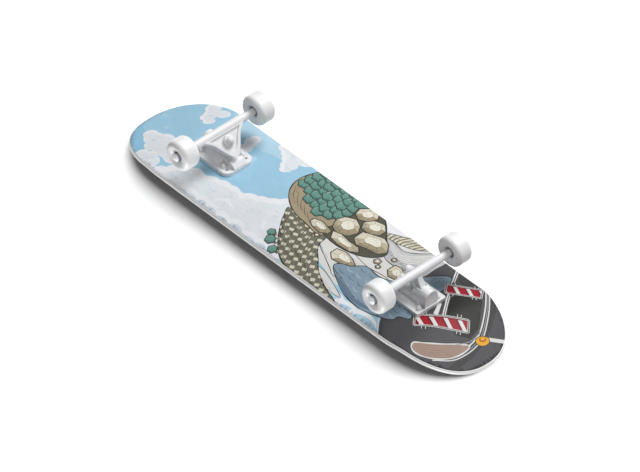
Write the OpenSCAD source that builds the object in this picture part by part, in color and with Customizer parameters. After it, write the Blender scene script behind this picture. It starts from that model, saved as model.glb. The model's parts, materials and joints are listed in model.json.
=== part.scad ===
// Skateboard: a kicked and cupped deck, two kingpin trucks, four wheels on ball bearings.
// Wheels stand on z = 0. X runs to the nose, Y to the rider's left, Z up.

/* [Deck] */
// Tip to tip length
deck_length = 806; // [760:1:840]
// Width over the straight sides
deck_width = 197; // [185:0.5:216]
// Wood thickness
deck_thickness = 8; // [7:0.5:12]
// Height of the printed underside above the ground
deck_height = 81.2; // [74:0.1:90]
// Rounded length of the nose end
nose_round = 126; // [100:1:160]
// Rounded length of the tail end
tail_round = 138; // [100:1:160]
// Superellipse exponent of both ends
end_exponent = 2.25; // [2:0.05:2.8]
// X where the nose kick starts
nose_kick_start = 285; // [280:1:300]
// X distance where the tail kick starts
tail_kick_start = 287; // [280:1:300]
// Nose kick angle
nose_kick_angle = 17.1; // [10:0.1:24]
// Tail kick angle
tail_kick_angle = 16.8; // [10:0.1:24]
// Bend radius of both kicks
kick_radius = 89; // [60:1:120]
// Rise of the side edges over the flat middle
concave_rise = 9.2; // [4:0.1:14]
// Half width of the flat strip along the middle
flat_half = 30; // [29:0.5:34]
// Thickness of the printed film
film_thickness = 0.25; // [0.2:0.05:0.5]
// Thickness of the grip tape
grip_thickness = 0.9; // [0.6:0.1:1.4]

/* [Trucks] */
// X of the front axle
front_axle_x = 225; // [215:0.5:235]
// X distance of the rear axle
rear_axle_x = 237.5; // [225:0.5:245]
// Axle height under the printed underside
axle_drop = 54.2; // [50:0.1:60]
// Length of the axle rod
axle_length = 204; // [200:1:212]
// Diameter of the axle rod
axle_d = 8; // [7.9:0.1:8]
// Width between the hanger's end faces
hanger_width = 138; // [136:1:140]
// Diameter of the axle tube at its middle
tube_d = 15; // [13:0.5:17]
// Diameter of the axle tube at its ends
tube_end_d = 13; // [12:0.5:15]
// Lean of the kingpin from upright
kingpin_lean = 45; // [40:1:50]
// Diameter of the kingpin
kingpin_d = 9.5; // [9:0.1:10]
// Diameter of the pivot nose
pivot_d = 10; // [9:0.1:11]
// Distance from kingpin ring to pivot centre
pivot_reach = 39.8; // [38:0.1:42]
// Lean of the steering axis from level
steer_lean = 25.4; // [22:0.1:30]
// Length of the baseplate
base_length = 83; // [80:1:88]
// Width of the baseplate
base_width = 62; // [57:0.5:64]
// Thickness of the baseplate flange
base_thickness = 6.5; // [5:0.5:8]
// Half of the bolt pattern's length
bolt_half_x = 27; // [26:0.5:28]
// Half of the bolt pattern's width
bolt_half_y = 20.6; // [20:0.1:21]

/* [Wheels] */
// Wheel diameter
wheel_d = 54; // [50:1:58]
// Wheel width
wheel_width = 32.5; // [30:0.5:35]
// Rounding radius of the wheel's edges
wheel_edge = 8.5; // [6:0.5:10]
// Distance of each wheel's middle from the centre line
wheel_y = 82; // [81:0.5:83]

/* [Hidden] */
$fn = 64;
eps = 0.01;
fit = 0.05;
axle_z = deck_height - axle_drop;
wood_z = deck_height + film_thickness;
half_length = deck_length / 2;
half_width = deck_width / 2;

// Ring centre and steering geometry in the truck's own frame: x outboard, z up, underside at 0
ring_x = -12.95;
ring_z = -39.05;
ring_half = 3;
floor_w = 5;
rim_top = 8;
tube_u = -19.87;
tube_w = 1.56;
seat_w = -12.2;
seat_r = 9;
boss_r = 6.9;
boss_foot = -26.9;
kingpin_tip = 17.5;
kingpin_root = -25;
swing_r = 11.8;
boss_swing_r = 9.8;
seat_swing = -14.5;
swing_end = -28;
arm_r = 6.6;
arm_start = 24;
arm_end = 33;
arm_width = 10;
arm_gap = 1;
vault_r = 13.5;
vault_in = 3;
vault_z_in = -23;
vault_z_out = -20.6;
slot_half = 7.6;
slot_out = 16.5;
slot_top = -14;
bushing_h = 5;
upper_washer_w = floor_w + bushing_h;
nut_w = upper_washer_w + 1.2;
cup_start = 34;
cup_end = 45.5;
cup_r = 7.2;
tower_x = 33.5;
base_in = -48;
base_out = base_in + base_length;
bolt_x2 = 36.5;
bolt_r = 2.5;
bolt_head_r = 4.75;
race_r = 11;
ball_r = 1.985;
pitch_r = 7.5;
bearing_off = 8.5;
bearing_w = 7;
balls_per = 7;
washer_t = 1;

// ---------- deck surface ----------
edge_inset = 2.2;
rows_end = [0, 3, 6, 9, 12, 15, 18, 22, 27, 32, 38, 44, 50, 56, 62, 68, 73, 77.5, 81.5, 84.5, 86.8, 88.3];
rows_mid = [0.1, 0.3, 0.5, 0.7, 0.9];
straight_length = deck_length - tail_round - nose_round;
mid_frac = flat_half / half_width;
cols = [-1, -0.9, -0.79, -0.67, -0.55, -0.43, -mid_frac, 0, mid_frac, 0.43, 0.55, 0.67, 0.79, 0.9, 1];
n_cols = len(cols);
mid_col = (n_cols - 1) / 2;
side_blend = 1.6;
fade_near = 250;
fade_far = 388;

function clamp01(v) = min(1, max(0, v));
function fade(x) = 0.5 + 0.5 * cos(180 * clamp01((abs(x) - fade_near) / (fade_far - fade_near)));
function cup_at(y) = pow(clamp01((abs(y) - flat_half) / (half_width - flat_half)), side_blend);
function cup(x, y) = concave_rise * fade(x) * cup_at(y);
function kick_d(x) = x > 0 ? x - nose_kick_start : -x - tail_kick_start;
function kick_a(x) = x > 0 ? nose_kick_angle : tail_kick_angle;
function kick_run(x) = kick_radius * sin(kick_a(x));
function kick_z(x) =
    kick_d(x) <= 0 ? 0 :
    kick_d(x) < kick_run(x) ? kick_radius - sqrt(kick_radius * kick_radius - kick_d(x) * kick_d(x)) :
    kick_radius * (1 - cos(kick_a(x))) + (kick_d(x) - kick_run(x)) * tan(kick_a(x));
function kick_slope(x) =
    kick_d(x) <= 0 ? 0 :
    (x > 0 ? 1 : -1) * (kick_d(x) < kick_run(x) ? asin(kick_d(x) / kick_radius) : kick_a(x));

// A station is [x of the outline, half width there, outline normal x, outline normal y]
function end_row(t, sgn, round) =
    let (c = pow(cos(t), 2 / end_exponent), s = pow(sin(t), 2 / end_exponent),
         gx = pow(s, end_exponent - 1) / round, gy = pow(c, end_exponent - 1) / half_width,
         g = sqrt(gx * gx + gy * gy))
    [sgn * (half_length - round + round * s), half_width * c, sgn * gx / g, gy / g];
stations = concat(
    [for (i = [len(rows_end) - 1:-1:0]) end_row(rows_end[i], -1, tail_round)],
    [for (f = rows_mid) [tail_round - half_length + f * straight_length, half_width, 0, 1]],
    [for (i = [0:len(rows_end) - 1]) end_row(rows_end[i], 1, nose_round)]);

// A point on the board: fraction across, inset from the outline, height off the wood's underside
function board_pt(st, f, inset, n) =
    let (x = st[0] - inset * st[2], y = f * (st[1] - inset * st[3]), a = kick_slope(x))
    [x - n * sin(a), y, wood_z + kick_z(x) + cup(x, y) + n * cos(a)];
function ring_pts(st, inset, low, high, sides) = concat(
    [for (f = cols) board_pt(st, f, inset, high)],
    [for (s = sides) board_pt(st, 1, s[0], s[1])],
    [for (i = [n_cols - 1:-1:0]) board_pt(st, cols[i], inset, low)],
    [for (i = [len(sides) - 1:-1:0]) board_pt(st, -1, sides[i][0], sides[i][1])]);

// Triangles of one end cap of a ring with m side points, counted from its first point b
function top_fan(b, m) = m == 0 ? [] : concat(
    [for (k = [mid_col:n_cols - 2]) [b + k, b + k + 1, b + n_cols]],
    [for (k = [0:mid_col - 1]) [b + k, b + k + 1, b + 2 * n_cols + 2 * m - 1]],
    [[b + mid_col, b + n_cols, b + 2 * n_cols + 2 * m - 1]]);
function mid_band(b, m) = m == 0 ? [] : [for (j = [0:m - 2]) each
    let (r = b + n_cols + j, l = b + 2 * n_cols + 2 * m - 1 - j)
    [[l, r, r + 1], [l, r + 1, l - 1]]];
function low_fan(b, m) = m == 0 ? [] : concat(
    [for (k = [0:mid_col - 1]) [b + n_cols + m + k, b + n_cols + m + k + 1, b + n_cols + m - 1]],
    [for (k = [mid_col:n_cols - 2])
        [b + n_cols + m + k, b + n_cols + m + k + 1, b + 2 * n_cols + m]],
    [[b + n_cols + m + mid_col, b + 2 * n_cols + m, b + n_cols + m - 1]]);
function thin_cap(b) = [for (k = [0:n_cols - 2]) each
    [[b + k, b + k + 1, b + 2 * n_cols - 2 - k], [b + k, b + 2 * n_cols - 2 - k, b + 2 * n_cols - 1 - k]]];
function cap(b, m) = m == 0 ? thin_cap(b) : concat(top_fan(b, m), mid_band(b, m), low_fan(b, m));
function turned(tris) = [for (t = tris) [t[2], t[1], t[0]]];

module board_layer(inset, low, high, sides) {
    m = len(sides);
    n = 2 * n_cols + 2 * m;
    last = len(stations) - 1;
    pts = [for (st = stations) each ring_pts(st, inset, low, high, sides)];
    skin = [for (i = [0:last - 1], j = [0:n - 1]) each
        let (a = i * n + j, b = i * n + (j + 1) % n, c = a + n, d = b + n)
        (j < n_cols ? [[a, c, b], [b, c, d]] : [[a, c, d], [a, d, b]])];
    polyhedron(pts, concat(turned(skin), turned(cap(0, m)), cap(last * n, m)), convexity = 6);
}

module bolt_places(x0) {
    for (sx = [-1, 1], sy = [-1, 1])
        translate([x0 + sx * bolt_half_x, sy * bolt_half_y, 0])
            children();
}
module all_bolt_places() {
    bolt_places(front_axle_x) children();
    bolt_places(-rear_axle_x) children();
}

edge_sides = [[0.95, deck_thickness - 0.4], [0.3, deck_thickness - 1.3], [0, deck_thickness - 2.6],
    [0, 2.2], [0.3, 1.1], [0.95, 0.35]];

module deck() {
    color("BurlyWood")
        difference() {
            board_layer(edge_inset, 0, deck_thickness, edge_sides);
            all_bolt_places() {
                translate([0, 0, wood_z - 1])
                    cylinder(r = bolt_r + 0.15, h = deck_thickness + 2);
                translate([0, 0, wood_z + deck_thickness - 2.6])
                    cylinder(r1 = bolt_r + 0.15, r2 = bolt_head_r + 0.35, h = 2.6 + eps);
            }
        }
}

module graphic_film() {
    color("LightBlue")
        difference() {
            board_layer(edge_inset, -film_thickness, 0, []);
            all_bolt_places()
                translate([0, 0, deck_height - 1])
                    cylinder(r = bolt_r + 0.15, h = 3);
        }
}

module grip_tape() {
    color("DimGray")
        difference() {
            board_layer(edge_inset, deck_thickness, deck_thickness + grip_thickness, []);
            all_bolt_places()
                translate([0, 0, wood_z + deck_thickness - 1])
                    cylinder(r = bolt_head_r + 0.45, h = 3);
        }
}

module deck_bolts(x0) {
    bolt_end = deck_height - base_thickness - 6.4;
    head_z = wood_z + deck_thickness;
    color("Silver")
        bolt_places(x0)
            difference() {
                union() {
                    translate([0, 0, bolt_end])
                        cylinder(r1 = bolt_r - 0.5, r2 = bolt_r, h = 0.6);
                    translate([0, 0, bolt_end + 0.6])
                        cylinder(r = bolt_r, h = head_z - bolt_end - 3);
                    translate([0, 0, head_z - 2.4])
                        cylinder(r1 = bolt_r, r2 = bolt_head_r, h = 2.2);
                    translate([0, 0, head_z - 0.2])
                        cylinder(r = bolt_head_r, h = 0.6);
                }
                for (a = [0, 90])
                    translate([0, 0, head_z])
                        rotate([0, 0, a])
                            cube([5, 1.1, 2.4], center = true);
            }
}

module deck_nuts(x0) {
    nut_h = 5;
    color("Silver")
        bolt_places(x0)
            translate([0, 0, deck_height - base_thickness - nut_h])
                difference() {
                    union() {
                        translate([0, 0, 1.4])
                            cylinder(r = 4.6, h = nut_h - 1.4, $fn = 6);
                        cylinder(r1 = 3.4, r2 = 3.9, h = 1.6);
                    }
                    translate([0, 0, -1])
                        cylinder(r = bolt_r + fit, h = nut_h + 2);
                }
}

// ---------- trucks ----------
// side +1 is the front truck, -1 the rear one, turned half round
module truck_frame(side) {
    translate([side > 0 ? front_axle_x : -rear_axle_x, 0, deck_height])
        rotate([0, 0, side > 0 ? 0 : 180])
            children();
}
// Kingpin frame: origin at the ring's centre, +Z to the nut, +X down the hanger's triangle
module kingpin_frame() {
    translate([ring_x, 0, ring_z])
        rotate([0, 180 + kingpin_lean, 0])
            children();
}
// Steering frame: origin at the ring's centre, +Z to the pivot
module steer_frame() {
    translate([ring_x, 0, ring_z])
        rotate([0, 90 - steer_lean, 0])
            children();
}
// The axle's line, with +Z along Y
module axle_frame() {
    translate([0, 0, -axle_drop])
        rotate([-90, 0, 0])
            children();
}

module base_flange() {
    round_in = 14;
    round_out = 3;
    half = base_width / 2;
    translate([0, 0, -base_thickness])
        union() {
            translate([base_in + round_in, -half, 0])
                cube([base_length - round_in - round_out, base_width, base_thickness]);
            translate([base_in, -half + round_in, 0])
                cube([round_in + 1, base_width - 2 * round_in, base_thickness]);
            translate([base_out - round_out - 1, -half + round_out, 0])
                cube([round_out + 1, base_width - 2 * round_out, base_thickness]);
            for (sy = [-1, 1]) {
                translate([base_in + round_in, sy * (half - round_in), 0])
                    cylinder(r = round_in, h = base_thickness);
                translate([base_out - round_out, sy * (half - round_out), 0])
                    cylinder(r = round_out, h = base_thickness);
            }
        }
}

// The cast ridge: a side outline run across, trimmed by a flank outline run along
module base_ridge() {
    side_line = [[-47.2, -4], [-47.2, -8.5], [-40.5, -15], [-33.5, -15.5], [-31.5, -10], [-24, -10],
        [-17, -14.5], [-10.5, -21], [-1.5, -21], [10.5, -13.8], [17, -21], [tower_x, -20], [tower_x, -4]];
    flank = [[-25, -4], [-25, -5.8], [-20, -7], [-16.5, -9.5], [-14, -13.5], [-12.4, -22.5],
        [12.4, -22.5], [14, -13.5], [16.5, -9.5], [20, -7], [25, -5.8], [25, -4]];
    intersection() {
        rotate([90, 0, 0])
            linear_extrude(height = 60, center = true)
                polygon(side_line);
        union() {
            translate([-18, 0, 0])
                rotate([90, 0, 90])
                    linear_extrude(height = 36)
                        polygon(flank);
            translate([base_in, -13.2, -30])
                cube([tower_x - base_in, 26.4, 27]);
        }
    }
}

// The barrel-vaulted housing of the pivot, open where the hanger's arm swings
module base_tower() {
    span = tower_x - vault_in;
    tilt = atan((vault_z_out - vault_z_in) / span);
    difference() {
        intersection() {
            union() {
                translate([vault_in - 2, 0, vault_z_in])
                    rotate([0, 90 - tilt, 0])
                        cylinder(r = vault_r, h = span + 6);
                translate([vault_in, -vault_r, vault_z_in])
                    cube([span, 2 * vault_r, -vault_z_in - 4]);
            }
            translate([vault_in, -vault_r - 1, -60])
                cube([span, 2 * vault_r + 2, 57]);
        }
        translate([vault_in - 1, -slot_half, -60])
            cube([slot_out - vault_in + 1, 2 * slot_half, 60 + slot_top]);
    }
}

module baseplate(side) {
    color("Gainsboro")
        truck_frame(side)
            difference() {
                union() {
                    base_flange();
                    base_ridge();
                    base_tower();
                    kingpin_frame()
                        translate([0, 0, boss_foot])
                            cylinder(r = boss_r, h = seat_w - boss_foot);
                    kingpin_frame()
                        translate([0, 0, seat_w - 1.8])
                            cylinder(r = seat_r, h = 1.8);
                }
                kingpin_frame()
                    translate([0, 0, kingpin_root])
                        cylinder(r = kingpin_d / 2 + fit, h = 30);
                steer_frame()
                    translate([0, 0, arm_start - 4])
                        cylinder(r = arm_r + arm_gap, h = arm_end - arm_start + 5.5);
                steer_frame()
                    translate([0, 0, cup_start - 1])
                        cylinder(r = cup_r, h = cup_end - cup_start + 1);
                for (x = [-bolt_x2, -bolt_half_x, bolt_half_x], sy = [-1, 1])
                    translate([x, sy * bolt_half_y, -base_thickness - 1])
                        cylinder(r = bolt_r + 0.3, h = base_thickness + 2);
            }
}

module pivot_cup(side) {
    color("WhiteSmoke")
        truck_frame(side)
            steer_frame()
                difference() {
                    translate([0, 0, cup_start])
                        cylinder(r = cup_r - fit, h = cup_end - cup_start - fit);
                    translate([0, 0, cup_start - 1])
                        cylinder(r = pivot_d / 2 + fit, h = pivot_reach - cup_start + 1);
                    translate([0, 0, pivot_reach])
                        sphere(r = pivot_d / 2 + fit);
                    translate([0, 0, cup_start - eps])
                        cylinder(r1 = pivot_d / 2 + 0.8, r2 = pivot_d / 2 + fit, h = 0.8);
                }
}

module kingpin(side) {
    color("Silver")
        truck_frame(side)
            kingpin_frame() {
                translate([0, 0, kingpin_root])
                    cylinder(r = kingpin_d / 2, h = kingpin_tip - 0.8 - kingpin_root);
                translate([0, 0, kingpin_tip - 0.8])
                    cylinder(r1 = kingpin_d / 2, r2 = kingpin_d / 2 - 0.8, h = 0.8);
            }
}

module kingpin_nut(side) {
    color("Silver")
        truck_frame(side)
            kingpin_frame()
                translate([0, 0, nut_w])
                    difference() {
                        union() {
                            cylinder(r = 7.6, h = 2.8, $fn = 6);
                            translate([0, 0, 2.7])
                                cylinder(r1 = 6.5, r2 = 5.8, h = 1.5);
                        }
                        translate([0, 0, -1])
                            cylinder(r = kingpin_d / 2 + fit, h = 7);
                    }
}

module lower_bushing(side) {
    color("White")
        truck_frame(side)
            kingpin_frame()
                translate([0, 0, -11])
                    rotate_extrude()
                        polygon([[kingpin_d / 2 + 0.1, 0], [8, 0], [8.3, 1], [8.3, 3.4], [7.8, 4],
                            [8.3, 4.6], [8.3, 7], [8, 8], [kingpin_d / 2 + 0.1, 8]]);
}

module upper_bushing(side) {
    color("White")
        truck_frame(side)
            kingpin_frame()
                translate([0, 0, floor_w])
                    rotate_extrude()
                        polygon([[kingpin_d / 2 + 0.1, 0], [8.8, 0], [9.3, 0.8], [9.1, 3.3], [8.7, 3.8],
                            [8.5, bushing_h], [kingpin_d / 2 + 0.1, bushing_h]]);
}

module lower_washer(side) {
    color("Silver")
        truck_frame(side)
            kingpin_frame()
                translate([0, 0, seat_w])
                    difference() {
                        cylinder(r = 8.6, h = 1.2);
                        translate([0, 0, -1])
                            cylinder(r = kingpin_d / 2 + fit, h = 4);
                    }
}

module upper_washer(side) {
    color("Silver")
        truck_frame(side)
            kingpin_frame()
                translate([0, 0, upper_washer_w])
                    rotate_extrude()
                        polygon([[kingpin_d / 2 + fit, 0], [8.7, 0], [9, -1.1], [9.8, -1.1], [9.5, 0.4],
                            [8.8, 1.2], [kingpin_d / 2 + fit, 1.2]]);
}

// Outline of the hanger's triangle in the kingpin frame, from the tube to the rounded tip
side_line = [[-17, 43], [-13, 38.5], [-9.5, 34], [-6, 29.8], [-2, 26.6], [3, 23.4], [9, 19.6], [15, 15.6],
    [20, 11.6], [24, 9]];
tip_u = 21.5;
tip_r = 8.4;
tip_arc = [for (a = [60:-20:-60]) [tip_u + tip_r * cos(a), tip_r * sin(a)]];
// The same line on the other side, run backwards
function mirrored(line) = [for (i = [len(line) - 1:-1:0]) [line[i][0], -line[i][1]]];
web_line = concat(side_line, tip_arc, mirrored(side_line));
pocket_side = [[-13.4, 31.5], [-9, 27], [-5, 23.2], [-1, 20.2], [4, 17], [9, 13.6], [13.5, 9.8], [16.6, 6.2]];
pocket_tip = [[18.1, 3], [18.6, 0], [18.1, -3]];
pocket_line = concat(pocket_side, pocket_tip, mirrored(pocket_side));

module hanger_web() {
    kingpin_frame()
        difference() {
            translate([0, 0, -ring_half])
                linear_extrude(height = rim_top + ring_half)
                    polygon(web_line);
            translate([0, 0, floor_w])
                linear_extrude(height = rim_top)
                    polygon(pocket_line);
        }
}

module hanger_tube() {
    r_mid = tube_d / 2;
    r_end = tube_end_d / 2;
    half_tube = hanger_width / 2;
    tube_chamfer = 0.6;
    taper_in = 32;
    taper_mid = 46;
    taper_out = 62;
    taper_ease = 0.3;
    axle_frame()
        rotate_extrude()
            polygon([[0, -half_tube], [r_end - tube_chamfer, -half_tube], [r_end, tube_chamfer - half_tube],
                [r_end, -taper_out], [r_mid - taper_ease, -taper_mid], [r_mid, -taper_in],
                [r_mid, taper_in], [r_mid - taper_ease, taper_mid], [r_end, taper_out],
                [r_end, half_tube - tube_chamfer], [r_end - tube_chamfer, half_tube], [0, half_tube]]);
}

// The arm that passes the kingpin's foot and carries the pivot nose
module hanger_arm() {
    arm_line = [[-7.3, -48.2], [-5, -56], [4, -58], [6.5, -50.5], [9.8, -41.5], [13.8, -34], [17.2, -29.5],
        [15, -23], [8, -26], [-1, -40]];
    difference() {
        union() {
            steer_frame()
                translate([0, 0, arm_start])
                    cylinder(r = arm_r, h = arm_end - arm_start);
            intersection() {
                rotate([90, 0, 0])
                    linear_extrude(height = arm_width, center = true)
                        polygon(arm_line);
                steer_frame()
                    translate([-50, -20, -5])
                        cube([100, 40, arm_end + 5]);
            }
        }
        kingpin_frame()
            translate([0, 0, swing_end])
                cylinder(r = boss_swing_r, h = -swing_end - ring_half);
        kingpin_frame()
            translate([0, 0, seat_swing])
                cylinder(r = swing_r, h = -seat_swing - ring_half);
    }
}

module hanger(side) {
    color("White")
        truck_frame(side)
            difference() {
                union() {
                    hanger_tube();
                    hanger_web();
                    hanger_arm();
                    steer_frame()
                        translate([0, 0, arm_end - 2])
                            cylinder(r = pivot_d / 2, h = pivot_reach - arm_end + 2);
                    steer_frame()
                        translate([0, 0, pivot_reach])
                            sphere(r = pivot_d / 2);
                }
                kingpin_frame()
                    translate([0, 0, -8])
                        cylinder(r = 6.1, h = 24);
                axle_frame()
                    translate([0, 0, -hanger_width])
                        cylinder(r = axle_d / 2 + fit, h = 2 * hanger_width);
            }
}

module axle(side) {
    color("Silver")
        truck_frame(side)
            axle_frame() {
                translate([0, 0, -axle_length / 2 + 0.8])
                    cylinder(r = axle_d / 2, h = axle_length - 1.6);
                for (s = [0, 180])
                    rotate([s, 0, 0])
                        translate([0, 0, axle_length / 2 - 0.8])
                            cylinder(r1 = axle_d / 2, r2 = axle_d / 2 - 0.8, h = 0.8);
            }
}

// Both ends of one axle, with +Z outboard from the wheel's middle
module axle_ends(side) {
    truck_frame(side)
        for (s = [0, 180])
            axle_frame()
                rotate([s, 0, 0])
                    translate([0, 0, wheel_y])
                        children();
}
module tube_ring(inner, outer, low, high) {
    translate([0, 0, low])
        difference() {
            cylinder(r = outer, h = high - low);
            translate([0, 0, -1])
                cylinder(r = inner, h = high - low + 2);
        }
}

module axle_nuts(side) {
    color("Silver")
        axle_ends(side)
            translate([0, 0, bearing_off + bearing_w / 2 + washer_t])
                difference() {
                    union() {
                        cylinder(r = 7.4, h = 4.6, $fn = 6);
                        translate([0, 0, 4.5])
                            cylinder(r1 = 6.1, r2 = 5.4, h = 1.4);
                    }
                    translate([0, 0, -1])
                        cylinder(r = axle_d / 2 + fit, h = 9);
                }
}

module speed_washers(side) {
    color("Silver")
        axle_ends(side)
            for (s = [-1, 1])
                translate([0, 0, s * (bearing_off + bearing_w / 2 + washer_t / 2)])
                    tube_ring(axle_d / 2 + fit, 5.8, -washer_t / 2, washer_t / 2);
}

module inner_races(side) {
    color("Silver")
        axle_ends(side)
            for (s = [-1, 1])
                translate([0, 0, s * bearing_off])
                    rotate_extrude()
                        difference() {
                            translate([axle_d / 2 + fit, -bearing_w / 2])
                                square([2, bearing_w]);
                            translate([pitch_r, 0])
                                circle(r = ball_r + 0.04);
                        }
}

module bearing_spacers(side) {
    color("Silver")
        axle_ends(side)
            tube_ring(axle_d / 2 + fit, 5.5, -bearing_off + bearing_w / 2, bearing_off - bearing_w / 2);
}

// ---------- wheels ----------
// end +1 front or -1 rear, hand +1 left or -1 right; +Z runs outboard along the axle
module wheel_frame(end, hand) {
    translate([end > 0 ? front_axle_x : -rear_axle_x, hand * wheel_y, axle_z])
        rotate([-90 * hand, 0, 0])
            children();
}
module both_bearings() {
    for (s = [-1, 1])
        translate([0, 0, s * bearing_off])
            children();
}

module wheel(end, hand) {
    r = wheel_d / 2;
    half = wheel_width / 2;
    seat = bearing_off - bearing_w / 2 - fit;
    color("White")
        wheel_frame(end, hand)
            rotate_extrude()
                difference() {
                    union() {
                        translate([r - wheel_edge, half - wheel_edge])
                            circle(r = wheel_edge);
                        translate([r - wheel_edge, -half + wheel_edge])
                            circle(r = wheel_edge);
                        translate([9.6, -half + wheel_edge])
                            square([r - 9.6, 2 * (half - wheel_edge)]);
                        translate([9.6, -half])
                            square([r - wheel_edge - 9.6, wheel_width]);
                    }
                    translate([9, seat])
                        square([race_r + 0.02 - 9, half]);
                    translate([9, -seat - half])
                        square([race_r + 0.02 - 9, half]);
                    polygon([[9, half + 1], [9, 12.6], [race_r + 0.01, 12.6], [12.5, half - 2.4],
                        [13.6, half - 1.7], [18.2, half + eps], [18.2, half + 1]]);
                    polygon([[9, -half - 1], [9, -12.6], [race_r + 0.01, -12.6], [12.5, -half + 2.4],
                        [13.6, -half + 1.7], [18.2, -half - eps], [18.2, -half - 1]]);
                }
}

module outer_races(end, hand) {
    color("Silver")
        wheel_frame(end, hand)
            both_bearings()
                rotate_extrude()
                    difference() {
                        translate([8.95, -bearing_w / 2])
                            square([race_r - 8.95, bearing_w]);
                        translate([pitch_r, 0])
                            circle(r = ball_r + 0.04);
                    }
}

module shields(end, hand) {
    color("DarkSlateGray")
        wheel_frame(end, hand)
            both_bearings()
                for (s = [-1, 1])
                    translate([0, 0, s * 3])
                        tube_ring(6.5, 8.93, -0.25, 0.25);
}

module ball_ring() {
    for (i = [0:balls_per - 1])
        rotate([0, 0, i * 360 / balls_per])
            translate([pitch_r, 0, 0])
                children();
}

module ball_cages(end, hand) {
    color("Tan")
        wheel_frame(end, hand)
            both_bearings()
                difference() {
                    tube_ring(6.85, 8.15, -2.4, 2.4);
                    ball_ring()
                        rotate([0, 90, 0])
                            cylinder(r = ball_r + 0.06, h = 4, center = true);
                }
}

module balls(end, hand) {
    color("Silver")
        wheel_frame(end, hand)
            both_bearings()
                ball_ring()
                    sphere(r = ball_r);
}

deck();
graphic_film();
grip_tape();
deck_bolts(front_axle_x);  // deck_bolts_front
deck_bolts(-rear_axle_x);  // deck_bolts_rear
deck_nuts(front_axle_x);  // deck_nuts_front
deck_nuts(-rear_axle_x);  // deck_nuts_rear
baseplate(1);  // baseplate_front
baseplate(-1);  // baseplate_rear
pivot_cup(1);  // pivot_cup_front
pivot_cup(-1);  // pivot_cup_rear
kingpin(1);  // kingpin_front
kingpin(-1);  // kingpin_rear
kingpin_nut(1);  // kingpin_nut_front
kingpin_nut(-1);  // kingpin_nut_rear
lower_bushing(1);  // lower_bushing_front
lower_bushing(-1);  // lower_bushing_rear
upper_bushing(1);  // upper_bushing_front
upper_bushing(-1);  // upper_bushing_rear
lower_washer(1);  // lower_washer_front
lower_washer(-1);  // lower_washer_rear
upper_washer(1);  // upper_washer_front
upper_washer(-1);  // upper_washer_rear
hanger(1);  // hanger_front
hanger(-1);  // hanger_rear
axle(1);  // axle_front
axle(-1);  // axle_rear
axle_nuts(1);  // axle_nuts_front
axle_nuts(-1);  // axle_nuts_rear
speed_washers(1);  // speed_washers_front
speed_washers(-1);  // speed_washers_rear
inner_races(1);  // inner_races_front
inner_races(-1);  // inner_races_rear
bearing_spacers(1);  // bearing_spacers_front
bearing_spacers(-1);  // bearing_spacers_rear
wheel(1, 1);  // wheel_front_left
wheel(1, -1);  // wheel_front_right
wheel(-1, 1);  // wheel_rear_left
wheel(-1, -1);  // wheel_rear_right
outer_races(1, 1);  // outer_races_front_left
outer_races(1, -1);  // outer_races_front_right
outer_races(-1, 1);  // outer_races_rear_left
outer_races(-1, -1);  // outer_races_rear_right
shields(1, 1);  // shields_front_left
shields(1, -1);  // shields_front_right
shields(-1, 1);  // shields_rear_left
shields(-1, -1);  // shields_rear_right
ball_cages(1, 1);  // ball_cages_front_left
ball_cages(1, -1);  // ball_cages_front_right
ball_cages(-1, 1);  // ball_cages_rear_left
ball_cages(-1, -1);  // ball_cages_rear_right
balls(1, 1);  // balls_front_left
balls(1, -1);  // balls_front_right
balls(-1, 1);  // balls_rear_left
balls(-1, -1);  // balls_rear_right
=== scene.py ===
import json
import math
import random

import bpy
from mathutils import Matrix, Vector
from mathutils.bvhtree import BVHTree
from mathutils.geometry import convex_hull_2d, delaunay_2d_cdt


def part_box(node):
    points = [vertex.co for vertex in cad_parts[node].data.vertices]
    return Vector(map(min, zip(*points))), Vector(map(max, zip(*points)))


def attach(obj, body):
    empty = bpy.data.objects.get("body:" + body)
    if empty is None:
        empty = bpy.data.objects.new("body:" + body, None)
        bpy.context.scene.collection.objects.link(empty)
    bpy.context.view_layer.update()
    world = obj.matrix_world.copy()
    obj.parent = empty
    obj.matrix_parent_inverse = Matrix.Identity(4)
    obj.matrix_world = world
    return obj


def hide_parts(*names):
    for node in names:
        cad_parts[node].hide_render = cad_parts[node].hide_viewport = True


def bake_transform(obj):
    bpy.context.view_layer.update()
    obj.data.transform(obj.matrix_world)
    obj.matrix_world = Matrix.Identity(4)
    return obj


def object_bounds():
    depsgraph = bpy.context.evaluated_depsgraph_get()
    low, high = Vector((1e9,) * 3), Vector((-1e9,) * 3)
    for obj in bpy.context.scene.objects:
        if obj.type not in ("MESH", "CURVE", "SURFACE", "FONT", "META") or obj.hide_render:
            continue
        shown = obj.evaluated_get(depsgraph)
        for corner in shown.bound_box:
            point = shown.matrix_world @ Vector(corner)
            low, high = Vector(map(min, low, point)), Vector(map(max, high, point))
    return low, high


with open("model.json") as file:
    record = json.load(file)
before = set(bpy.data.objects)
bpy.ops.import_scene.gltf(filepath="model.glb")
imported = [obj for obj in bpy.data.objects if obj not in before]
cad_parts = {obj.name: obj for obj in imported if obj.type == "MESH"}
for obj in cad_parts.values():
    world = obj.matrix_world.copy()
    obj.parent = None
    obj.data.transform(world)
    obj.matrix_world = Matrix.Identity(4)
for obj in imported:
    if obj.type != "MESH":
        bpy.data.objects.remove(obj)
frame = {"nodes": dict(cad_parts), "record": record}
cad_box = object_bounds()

MM = 0.001
ENDS = ("front", "rear")
SIDES = ("left", "right")
PLIES = 7
HOLE_RADIUS = 2.6
FILM_INSET = 0.15 * MM

# The camera looks up at the printed underside, and sees the board lying on its grip
VIEW_AZIMUTH = math.radians(42.51)
VIEW_ELEVATION = math.radians(41.75)
VIEW_CENTRE = Vector((-0.01606, -0.0049, 0.09301))
VIEW_DISTANCE = 12.231
LENS = 430.3
AMBIENT = 0.05


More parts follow.
